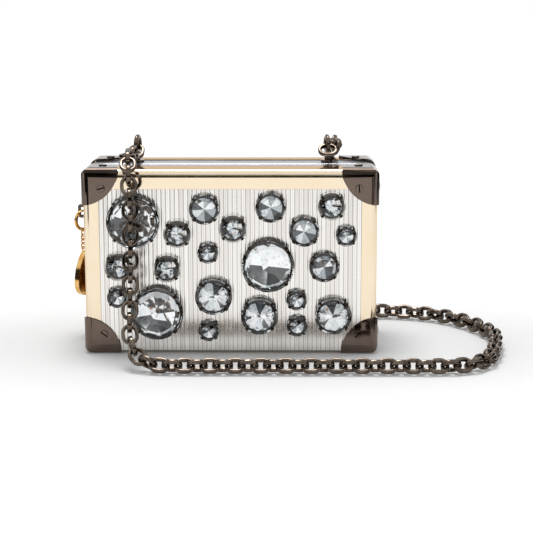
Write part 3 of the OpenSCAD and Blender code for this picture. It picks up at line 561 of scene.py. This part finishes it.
def model_setting(size):
    """A setting: a cup with four claws that fold over the stone's girdle at the diagonals."""
    diameter, girdle, crown = (v * MM for v in CUTS[size][:3])
    r = diameter / 2
    ring = new_piece("setting_pattern", bpy.ops.mesh.primitive_cylinder_add, vertices=64, radius=r - CUP_IN,
                     depth=girdle - GIRDLE_BAND, location=(0, 0, (girdle - GIRDLE_BAND) / 2))
    select_by(ring, lambda centre, normal: abs(normal.z) > 0.9)
    bpy.ops.mesh.inset(thickness=CUP_WALL, depth=0)
    bpy.ops.mesh.delete(type="FACE")
    bpy.ops.mesh.select_mode(type="EDGE")
    bpy.ops.mesh.select_non_manifold()
    bpy.ops.mesh.bridge_edge_loops()
    select_by(ring, lambda centre, d: abs(d.z) < TOUCH and centre.xy.length > r - CUP_IN - CUP_SOFT / 2,
              "EDGE")
    bpy.ops.mesh.bevel(offset=CUP_SOFT, segments=2)
    close_piece(ring)
    claw = new_piece("claw_pattern", bpy.ops.mesh.primitive_cube_add, size=1,
                     location=(r + CLAW_T / 2, 0, girdle - CLAW_RISE / 2),
                     scale=(CLAW_T, CLAW_W if size != "s" else SMALL_CLAW_W, CLAW_RISE))
    select_by(claw, lambda centre, normal: normal.z > 0.9)
    fold_up = CLAW_FOLD * crown / (r * CROWN_RUN_SHARE) + CLAW_OFF
    bpy.ops.mesh.extrude_region_move(TRANSFORM_OT_translate={"value": (-CLAW_T / 2, 0, CLAW_UP)})
    bpy.ops.transform.resize(value=(1, 0.9, 1), center_override=(r, 0, girdle))
    bpy.ops.mesh.extrude_region_move(TRANSFORM_OT_translate={"value": (-CLAW_FOLD, 0, fold_up)})
    bpy.ops.transform.resize(value=(0.8, 0.75, 1), center_override=(r - 0.8 * CLAW_FOLD, 0, girdle))
    bpy.ops.mesh.select_all(action="SELECT")
    bpy.ops.mesh.bevel(offset=CLAW_SOFT, segments=2)
    close_piece(claw)
    claws = join_copies(claw, "claws", [Matrix.Rotation(math.radians(a), 4, "Z") for a in CLAW_TURNS])
    discard(claw)
    bpy.ops.object.select_all(action="DESELECT")
    claws.select_set(True)
    ring.select_set(True)
    bpy.context.view_layer.objects.active = ring
    bpy.ops.object.join()
    return ring


# Places of the crystals, as the part has them: shares of the window's width and height
PLACES = {
    "xl": [(-0.367, 0.805), (0.144, 0.530), (-0.281, 0.228)],
    "l": [(-0.064, 0.335), (0.111, 0.211), (0.393, 0.212)],
    "m": [(-0.097, 0.881), (0.154, 0.893), (0.281, 0.743), (0.358, 0.521)],
    "p": [(-0.201, 0.726), (0.011, 0.758), (-0.242, 0.507), (-0.428, 0.518), (0.385, 0.898)],
    "s": [(-0.085, 0.606), (-0.433, 0.324), (-0.084, 0.112), (0.441, 0.714), (0.253, 0.310), (0.255, 0.143)]}
# How far each stone is turned in its setting, in degrees, so that no two catch the light alike
STONE_TURNS = (4, 17, 31, 9, 26, 38)
WINDOW_GAP = 0.05 * MM
window_w = panel_high.x - panel_low.x + 2 * WINDOW_GAP
window_h = panel_high.z - panel_low.z + 2 * WINDOW_GAP
window_z = panel_low.z - WINDOW_GAP
base_y = panel_low.y - WINDOW_GAP
for size, places in PLACES.items():
    at = [Vector((CASE_AT.x + x * window_w, base_y, window_z + z * window_h)) for x, z in places]
    stand = [axes_matrix(p, X, Z, -Y) for p in at]
    setting = model_setting(size)
    stand_for(join_copies(setting, "setting_cups_" + size, stand), "settings_" + size, setting_metal)
    discard(setting)
    stone = model_stone(size)
    girdle = CUTS[size][1] * MM
    turned = [m @ Matrix.Translation((0, 0, girdle)) @ Matrix.Rotation(math.radians(t), 4, "Z")
              for m, t in zip(stand, STONE_TURNS)]
    stand_for(join_copies(stone, "cut_stones_" + size, turned), "stones_" + size)
    discard(stone)


# Panel: a sheet with soft ribs. Its foot covers the narrow band below it
RIB_COLUMNS, RIB_SMOOTH_DEG = 10, 50
# How deep each column of a rib lies, in mm, from its groove on
GROOVE_DEPTHS = (0.1, 0.02, 0, 0, 0, 0.01, 0, 0, 0, 0.02)
# How far the sheet stands out over the frame's face, how far its foot reaches down, and its thickness
PANEL_FACE, PANEL_FOOT, PANEL_THICK = 0.01 * MM, 1.7 * MM, 1 * MM


def model_panel():
    """The ribbed sheet at the front: columns of a grid are pushed back to make the grooves."""
    width = panel_high.x - panel_low.x
    height = panel_high.z - panel_low.z + PANEL_FOOT
    at = Vector((CASE_AT.x, frame_low.y - PANEL_FACE, panel_low.z - PANEL_FOOT + height / 2))
    piece = new_piece("panel_pattern", bpy.ops.mesh.primitive_grid_add, size=1, location=at,
                      x_subdivisions=RIBS * RIB_COLUMNS, y_subdivisions=1, rotation=(math.pi / 2, 0, 0))
    bpy.ops.transform.resize(value=(width, 1, height), center_override=at)
    bpy.ops.object.mode_set(mode="OBJECT")
    step = rib_pitch / RIB_COLUMNS
    for point in piece.data.vertices:
        column = round((point.co.x - at.x + width / 2) / step)
        point.co.y += GROOVE_DEPTHS[column % RIB_COLUMNS] * MM
    wall = piece.modifiers.new("wall", "SOLIDIFY")
    wall.thickness = PANEL_THICK
    wall.offset = -1
    bpy.ops.object.modifier_apply(modifier=wall.name)
    return close_piece(piece, RIB_SMOOTH_DEG)


panel = model_panel()
stand_for(join_copies(panel, "ribbed_sheet_front", [Matrix()]), "front_panel", silver_panel)
at_back = Matrix.Translation((0, 2 * CASE_AT.y, 0)) @ Matrix.Scale(-1, 4, Y)
back_panel = join_copies(panel, "ribbed_sheet_back", [at_back])
bpy.context.view_layer.objects.active = back_panel
close_piece(back_panel, RIB_SMOOTH_DEG)
stand_for(back_panel, "back_panel", silver_panel)
discard(panel)


# Screws: a slotted head with a soft rim and painted shade in its slot
# Thickness of a cap, and how far a screw sits in from the cap's outline
CAP_T, SCREW_IN = 1 * MM, 10.5 * MM
HEAD_D, HEAD_H, HEAD_SOFT, SLOT_W, SLOT_D = 4.2 * MM, 0.6 * MM, 0.3 * MM, 0.7 * MM, 0.5 * MM
# How far the slots are turned, in degrees: each corner and each face has its own turn
TURN_FIRST, TURN_ACROSS, TURN_UP, TURN_NEXT = 30, 40, 25, 35


def model_screw():
    """A screw head on its seat, its axis along Z, with the slot along X."""
    slot = new_piece("slot_cutter", bpy.ops.mesh.primitive_cube_add, size=1,
                     location=(0, 0, HEAD_H), scale=(2 * HEAD_D, SLOT_W, 2 * SLOT_D))
    bpy.ops.object.mode_set(mode="OBJECT")
    head = new_piece("screw_pattern", bpy.ops.mesh.primitive_cylinder_add, vertices=32, radius=HEAD_D / 2,
                     depth=HEAD_H, location=(0, 0, HEAD_H / 2))
    select_by(head, lambda centre, d: centre.z > 0.9 * HEAD_H and abs(d.z) < TOUCH, "EDGE")
    bpy.ops.mesh.bevel(offset=HEAD_SOFT, segments=3)
    bpy.ops.object.mode_set(mode="OBJECT")
    cutter = head.modifiers.new("slot", "BOOLEAN")
    cutter.object = slot
    cutter.operation = "DIFFERENCE"
    bpy.ops.object.modifier_apply(modifier=cutter.name)
    discard(slot)
    close_piece(head)
    paint(head, gunmetal, painted_slot_shade)
    # Painted shade: the faces inside the slot get the near-black finish
    for face in head.data.polygons:
        inside = abs(face.center.y) < SLOT_W / 2 + TOUCH and TOUCH < face.center.z < HEAD_H - TOUCH
        face.material_index = 1 if inside and face.center.xy.length < HEAD_D / 2 - 0.05 * MM else 0
    return level_normals(head)


def screw_frames(side):
    """Where the heads of one half sit: front, side and top, and sunk flush in the underside."""
    mid = (frame_low.z + frame_high.z) / 2
    half_w = (frame_high.x - frame_low.x) / 2 + CAP_T
    half_h = (frame_high.z - frame_low.z) / 2 + CAP_T
    half_d = half_depth + CAP_T
    frames = []
    for x in (-1, 1):
        for z in (-1, 1):
            turn = TURN_FIRST + TURN_ACROSS * x + TURN_UP * z
            frames.append((Vector((x * (half_w - SCREW_IN), side * half_d, mid + z * (half_h - SCREW_IN))),
                           Y * side, turn))
            frames.append((Vector((x * half_w, side * (half_d - SCREW_IN), mid + z * (half_h - SCREW_IN))),
                           X * x, turn + TURN_NEXT))
            sunk = HEAD_H if z < 0 else 0
            frames.append((Vector((x * (half_w - SCREW_IN), side * (half_d - SCREW_IN),
                                   mid + z * (half_h - sunk))), Z * z, turn + 2 * TURN_NEXT))
    return [Matrix.Translation(at + CASE_AT) @ out.to_track_quat("Z", "Y").to_matrix().to_4x4()
            @ Matrix.Rotation(math.radians(turn), 4, "Z") for at, out, turn in frames]


screw = model_screw()
for half, side in (("front", -1), ("back", 1)):
    heads = join_copies(screw, half + "_screw_heads", screw_frames(side))
    stand_for(heads, half + "_screws", gunmetal, painted_slot_shade)
discard(screw)


# Caps, frames, trays, eyes and charm: the part's own shapes, merged, softened and smooth in the light
# Radii of the vertical and level front edges, and how near a point lies to them to be on the rounding
CORNER_R, EDGE_R, ON_ROUND = 4 * MM, 3 * MM, 0.12 * MM
# How far in the face stays as it is when its crease moves
BORDER_FAR = 8 * MM
CREASE_DEG = 4


def stamped_border(piece, low, high, face_y, inward, skin, reach, slope, nose, sides=True):
    """Gives the bent border of a cap or frame its stamped profile: a crease, a flat slope, then a nose.
    Skin is how far the piece stands out over the case's walls, and reach where the crease lies.
    Without sides, only the borders at the top and bottom are shaped."""
    side_r, top_r = CORNER_R + skin, EDGE_R + skin

    def depth(q, limit):
        """How far behind the face the border lies, at a distance from the outline."""
        if q >= nose:
            return max(reach - q, 0) * slope
        start = (reach - nose) * slope
        return start + (limit - start) * (1 - math.sqrt(max(1 - ((nose - q) / nose) ** 2, 0)))

    def spread(q, radius):
        """Where a distance from the outline goes when the crease moves from the radius to its reach."""
        if q <= radius:
            return q * reach / radius
        if q >= BORDER_FAR:
            return q
        return max(q, reach + (q - radius) * (BORDER_FAR - reach) / (BORDER_FAR - radius))

    def rounded(q, back, radius):
        """True on the rounding of an edge."""
        return q < radius + NEAR and abs(math.hypot(radius - q, radius - back) - radius) < ON_ROUND

    for point in piece.data.vertices:
        from_x = min(point.co.x - low.x, high.x - point.co.x)
        from_z = min(point.co.z - low.z, high.z - point.co.z)
        back = (point.co.y - face_y) * inward
        flat = abs(back) < NEAR
        on_side, on_top = rounded(from_x, back, side_r), rounded(from_z, back, top_r)
        if not (flat or back < side_r and (on_side or on_top)):
            continue
        new_x, new_z = spread(from_x, side_r) if sides else from_x, spread(from_z, top_r)
        if flat or on_side:
            point.co.x += (new_x - from_x) * (1 if point.co.x - low.x < high.x - point.co.x else -1)
        if flat or on_top:
            point.co.z += (new_z - from_z) * (1 if point.co.z - low.z < high.z - point.co.z else -1)
        deep = max(depth(new_x, side_r) if on_side and sides else 0,
                   depth(new_z, top_r) if on_top else 0)
        point.co.y = face_y + inward * (deep if sides else max(deep, back))


def mark_crease(piece, face_y):
    """Keeps the crease round a flat face crisp in the light."""
    bpy.ops.object.mode_set(mode="EDIT")
    bpy.ops.mesh.select_mode(type="EDGE")
    bpy.ops.mesh.select_all(action="DESELECT")
    bpy.ops.mesh.edges_select_sharp(sharpness=math.radians(CREASE_DEG))
    bpy.ops.object.mode_set(mode="OBJECT")
    mesh = piece.data
    for edge in mesh.edges:
        edge.select = edge.select and all(abs(mesh.vertices[i].co.y - face_y) < NEAR for i in edge.vertices)
    bpy.ops.object.mode_set(mode="EDIT")
    bpy.ops.mesh.mark_sharp()
    bpy.ops.object.mode_set(mode="OBJECT")


def soften(node, width, finish, shape=None, crease_y=None):
    """A merged copy of a node, shaped, with its sharp edges rounded a little, as polishing leaves them."""
    source = frame["nodes"][node]
    piece = source.copy()
    piece.data = source.data.copy()
    piece.name = piece.data.name = node + "_softened"
    scene.collection.objects.link(piece)
    bpy.ops.object.select_all(action="DESELECT")
    piece.select_set(True)
    bpy.context.view_layer.objects.active = piece
    piece.data.materials.clear()
    bpy.ops.object.mode_set(mode="EDIT")
    bpy.ops.mesh.select_all(action="SELECT")
    bpy.ops.mesh.remove_doubles(threshold=CAD_MERGE)
    bpy.ops.mesh.dissolve_limited(angle_limit=math.radians(FLAT_DEG))
    bpy.ops.object.mode_set(mode="OBJECT")
    if shape:
        shape(piece)
    if width:
        edge = piece.modifiers.new("edge", "BEVEL")
        edge.width = width
        edge.segments = 2
        edge.limit_method = "ANGLE"
        edge.angle_limit = math.radians(BEVEL_OVER_DEG)
        bpy.ops.object.modifier_apply(modifier=edge.name)
    bpy.ops.object.shade_smooth_by_angle(angle=math.radians(CAD_SMOOTH_DEG))
    if crease_y is not None:
        mark_crease(piece, crease_y)
    return stand_for(level_normals(piece), node, finish)


def outer(centre, low, high):
    """True at the outline of a box seen from the front."""
    return min(centre.x - low.x, high.x - centre.x, centre.z - low.z, high.z - centre.z) < NEAR


# Borders: where the crease lies, how steep the slope is, how wide the rounded nose and how soft an edge
CAP_REACH, CAP_SLOPE, CAP_NOSE, CAP_SOFT = 5.2 * MM, 0.2, 1.3 * MM, 0.35 * MM
FRAME_REACH, FRAME_SLOPE, FRAME_NOSE_SHARE = 4.1 * MM, 0.1, 0.82
# How much deeper the front flange reaches, how wide its rim's rounding is, what share of that takes in the
# whole rounding, and how round the trays' rims are
FLANGE_MORE, STEP, RIM_BAND_SHARE, TRAY_SOFT = 3 * MM, 0.38 * MM, 1.3, 0.8 * MM
case_low = Vector((frame_low.x, frame_low.y, frame_low.z))
case_high = Vector((frame_high.x, back_high.y, frame_high.z))
skin_out = Vector((CAP_T, CAP_T, CAP_T))
for half, inward in (("front", 1), ("back", -1)):
    face_y = case_low.y if inward > 0 else case_high.y
    cap_y = face_y - inward * CAP_T
    for corner in ("tl", "tr", "bl", "br"):
        soften(half + "_cap_" + corner, CAP_SOFT, gunmetal, crease_y=cap_y,
               shape=lambda piece: stamped_border(piece, case_low - skin_out, case_high + skin_out, cap_y,
                                                  inward, CAP_T, CAP_REACH, CAP_SLOPE, CAP_NOSE))
    low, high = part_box(half + "_frame")
    rim_y = high.y if inward > 0 else low.y

    def shape_frame(piece):
        """A crease along the top and bottom of the face, and a rounded rim where the silver strip starts."""
        stamped_border(piece, case_low, case_high, face_y, inward, 0, FRAME_REACH, FRAME_SLOPE,
                       FRAME_REACH * FRAME_NOSE_SHARE, sides=False)
        bpy.ops.object.mode_set(mode="EDIT")
        select_by(piece, lambda c, d: abs(c.y - rim_y) < NEAR and outer(c, low, high), "EDGE")
        bpy.ops.mesh.bevel(offset=STEP, segments=2)
        bpy.ops.object.mode_set(mode="OBJECT")
        if inward > 0:
            # The gold flange shows deeper on the front half than on the back one
            for point in piece.data.vertices:
                if abs(point.co.y - rim_y) < RIM_BAND_SHARE * STEP:
                    point.co.y += FLANGE_MORE

    soften(half + "_frame", 0, gold, shape=shape_frame, crease_y=face_y)
    tray_low, tray_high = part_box(half + "_tray")
    parting_y = tray_high.y if inward > 0 else tray_low.y

    def shape_tray(piece):
        """Rounds a tray's rim where it meets the other tray."""
        bpy.ops.object.mode_set(mode="EDIT")
        select_by(piece, lambda c, d: abs(c.y - parting_y) < NEAR and outer(c, tray_low, tray_high), "EDGE")
        bpy.ops.mesh.bevel(offset=TRAY_SOFT, segments=4)
        bpy.ops.object.mode_set(mode="OBJECT")

    soften(half + "_tray", 0, nickel, shape=shape_tray)


POLISHED_OFF = 0.06 * MM


def thin_wire(piece):
    """Takes a little off a wire all round, which keeps linked wires clear of each other as they swing."""
    bpy.ops.object.mode_set(mode="EDIT")
    bpy.ops.mesh.select_all(action="SELECT")
    bpy.ops.mesh.normals_make_consistent(inside=False)
    bpy.ops.transform.shrink_fatten(value=-POLISHED_OFF)
    bpy.ops.object.mode_set(mode="OBJECT")


for node in ("eye_left", "eye_right"):
    soften(node, 0, gunmetal)
soften("side_staple", 0, gunmetal, shape=thin_wire)
for node in ("clasp_ring", "charm_links", "pendant_rim"):
    soften(node, 0, charm_gold, shape=thin_wire)
for node in ("clasp_trigger", "pendant_back"):
    soften(node, 0, charm_gold)
soften("pendant_filigree", 0, antique_gold)
soften("pendant_stone", 0, green)

# Finishes of the solids that show as they are
finish_of_slot = {"silver": nickel, "gunmetal": gunmetal, "magnet": nickel, "lining": cloth}
for name, node_object in frame["nodes"].items():
    finish = finish_of_slot.get(slot_of_node[name])
    if finish and not node_object.hide_render:
        paint(node_object, finish)


# Camera, from the case's corners, screws and edges in the photograph
CAMERA_AT = CASE_AT + Vector((29.4, -758.8, 192.7)) * MM
AIM_AT = CASE_AT + Vector((18.07, 0, 40.69)) * MM
CAMERA_ROLL = math.radians(-0.12)
LENS_MM, SENSOR_MM, CLIP_FAR = 98.46, 36, 20
camera_data = bpy.data.cameras.new("camera")
camera = bpy.data.objects.new("camera", camera_data)
scene.collection.objects.link(camera)
camera_data.lens = LENS_MM
camera_data.sensor_width = SENSOR_MM
camera_data.clip_end = CLIP_FAR
facing = (AIM_AT - CAMERA_AT).to_track_quat("-Z", "Y").to_matrix().to_4x4()
camera.matrix_world = Matrix.Translation(CAMERA_AT) @ facing @ Matrix.Rotation(CAMERA_ROLL, 4, "Z")
scene.camera = camera


# Floor, backdrop and light
def seen_share(tree, shiny):
    """1 for what the camera sees, a share for what shiny and clear surfaces see, else 0."""
    path = add_node(tree, "ShaderNodeLightPath")
    either = add_node(tree, "ShaderNodeMath", {"operation": "MAXIMUM"},
                      {0: path.outputs["Is Glossy Ray"], 1: path.outputs["Is Transmission Ray"]})
    # Light that has met a matt surface first is left out, so that the white doesn't light the case
    unlit = add_node(tree, "ShaderNodeMath", {"operation": "LESS_THAN", 1: 0.5},
                     {0: path.outputs["Diffuse Depth"]})
    both = add_node(tree, "ShaderNodeMath", {"operation": "MULTIPLY"},
                    {0: either.outputs[0], 1: unlit.outputs[0]})
    part = add_node(tree, "ShaderNodeMath", {"operation": "MULTIPLY", 1: shiny}, {0: both.outputs[0]})
    return add_node(tree, "ShaderNodeMath", {"operation": "MAXIMUM"},
                    {0: path.outputs["Is Camera Ray"], 1: part.outputs[0]}).outputs[0]


FLOOR_SIZE = 12
# How strong the world's white is as light and to the camera, and the share of it that shiny surfaces see
WORLD_LIGHT, WORLD_SEEN, SHINY_SHARE = 0.5, 1.0, 0.8
# The glow that whitens the paper at the case's foot, round the chain and far off: weaker at the foot, which
# paints a darker shadow there, and stronger far off
FOOT_AT, ROUND_AT, FAR_AT = 0.03, 0.13, 0.9
FOOT_LIFT, ROUND_LIFT, FAR_LIFT = 0.05, 0.27, 0.56
bpy.ops.mesh.primitive_plane_add(size=FLOOR_SIZE, location=CASE_AT)
floor = bpy.context.object
floor.name = "floor"
paper, tree, shader, place = new_material("white_paper", Roughness=0.9)
shader.inputs["Base Color"].default_value = rgb("#EFEFEF")
# Distances across the case count less, because the case is long that way
ACROSS_SHARE = 0.37
squeezed = add_node(tree, "ShaderNodeMapping", {"Scale": (ACROSS_SHARE, 1, 0)}, {"Vector": place})
away = add_node(tree, "ShaderNodeVectorMath", {"operation": "LENGTH"},
                {"Vector": squeezed.outputs[0]}).outputs["Value"]
# Painted shadow: less glow near the case's foot deepens the shadow there
near = add_node(tree, "ShaderNodeMapRange",
                {"From Min": FOOT_AT, "From Max": ROUND_AT, "To Min": FOOT_LIFT, "To Max": ROUND_LIFT},
                {"Value": away}).outputs[0]
far = add_node(tree, "ShaderNodeMapRange",
               {"From Min": ROUND_AT, "From Max": FAR_AT, "To Min": 0, "To Max": FAR_LIFT - ROUND_LIFT},
               {"Value": away}).outputs[0]
lift = add_node(tree, "ShaderNodeMath", {"operation": "ADD"}, {0: near, 1: far})
level = add_node(tree, "ShaderNodeMath", {"operation": "MULTIPLY"},
                 {0: lift.outputs[0], 1: seen_share(tree, 1.0)})
glow = add_node(tree, "ShaderNodeEmission", links={"Strength": level.outputs[0]})
both = add_node(tree, "ShaderNodeAddShader", links={0: shader.outputs[0], 1: glow.outputs[0]})
tree.links.new(both.outputs[0], tree.nodes["Material Output"].inputs["Surface"])
paint(floor, paper)

world = bpy.data.worlds.new("studio")
scene.world = world
world.use_nodes = True
tree = world.node_tree
backdrop = tree.nodes["Background"]
level = add_node(tree, "ShaderNodeMapRange", {"To Min": WORLD_LIGHT, "To Max": WORLD_SEEN},
                 {"Value": seen_share(tree, SHINY_SHARE)})
backdrop.inputs["Color"].default_value = (1, 1, 1, 1)
tree.links.new(level.outputs["Result"], backdrop.inputs["Strength"])


# The point of the case that the lamp is aimed at
LAMP_AIM = CASE_AT + Vector((0, 0, 50)) * MM


def softbox(name, at, size, power):
    """A soft lamp aimed at the case. Its place from the case's middle and its side are in mm, and its power
    is in watts."""
    light = bpy.data.lights.new(name, "AREA")
    light.shape = "RECTANGLE"
    light.size, light.size_y = size * MM, size * MM
    light.energy = power
    lamp = bpy.data.objects.new(name, light)
    scene.collection.objects.link(lamp)
    lamp.location = CASE_AT + Vector(at) * MM
    lamp.rotation_euler = (LAMP_AIM - lamp.location).to_track_quat("-Z", "Y").to_euler()


softbox("top_light", (-60, 130, 1100), 420, 6)


CARD_WEAVE = 20 * MM


def dark_card(name, at, width, height, turn, code, for_stones=False):
    """A dark board out of view, the studio's unlit side, which only shiny surfaces see, or only clear ones.
    Its place from the case's middle and its sides are in mm, and its turn is in degrees."""
    bpy.ops.mesh.primitive_plane_add(size=1, location=CASE_AT + Vector(at) * MM,
                                     rotation=(math.pi / 2, 0, math.radians(turn)))
    card = bpy.context.object
    card.name = name
    card.scale = (width * MM, height * MM, 1)
    card.visible_camera = card.visible_diffuse = card.visible_shadow = False
    card.visible_glossy, card.visible_transmission = not for_stones, for_stones
    board, tree, shader, place = new_material(name + "_cloth", Roughness=1.0)
    weave = add_node(tree, "ShaderNodeTexNoise", {"Scale": 1 / CARD_WEAVE}, {"Vector": place})
    tree.links.new(ramp(tree, weave.outputs["Fac"], [(0.3, "#050505"), (0.7, code)]),
                   shader.inputs["Base Color"])
    paint(card, board)


dark_card("flag_front", (0, -1400, 235), 2200, 470, 0, "#101010")
dark_card("flag_right", (560, 100, 150), 1000, 300, 90, "#101010")
dark_card("flag_left", (-620, 100, 130), 900, 260, 90, "#101010")
dark_card("side_flag_left", (-195, -340, 150), 180, 300, 90, "#101010")
dark_card("side_flag_right", (225, -350, 150), 160, 300, 90, "#101010")
# Boards for the stones alone: direction across and up in degrees, width and height, and their grey
STONE_BOARDS = [(0, 13, 420, 260, "#606060"), (-42, 36, 300, 420, "#A0A0A0"), (52, 28, 260, 520, "#808080"),
                (8, 60, 460, 260, "#B8B8B8"), (-75, 12, 300, 380, "#707070"), (80, 48, 400, 300, "#A8A8A8")]
BOARD_FAR = 1200
for i, (across, up, width, height, code) in enumerate(STONE_BOARDS):
    a, e = math.radians(across), math.radians(up)
    at = Vector((math.sin(a) * math.cos(e), -math.cos(a) * math.cos(e), math.sin(e))) * BOARD_FAR
    dark_card("stones_board_%d" % i, at, width, height, across, code, for_stones=True)
dark_card("stones_low_board", (0, -430, 45), 620, 90, 0, "#8A8A8A", for_stones=True)
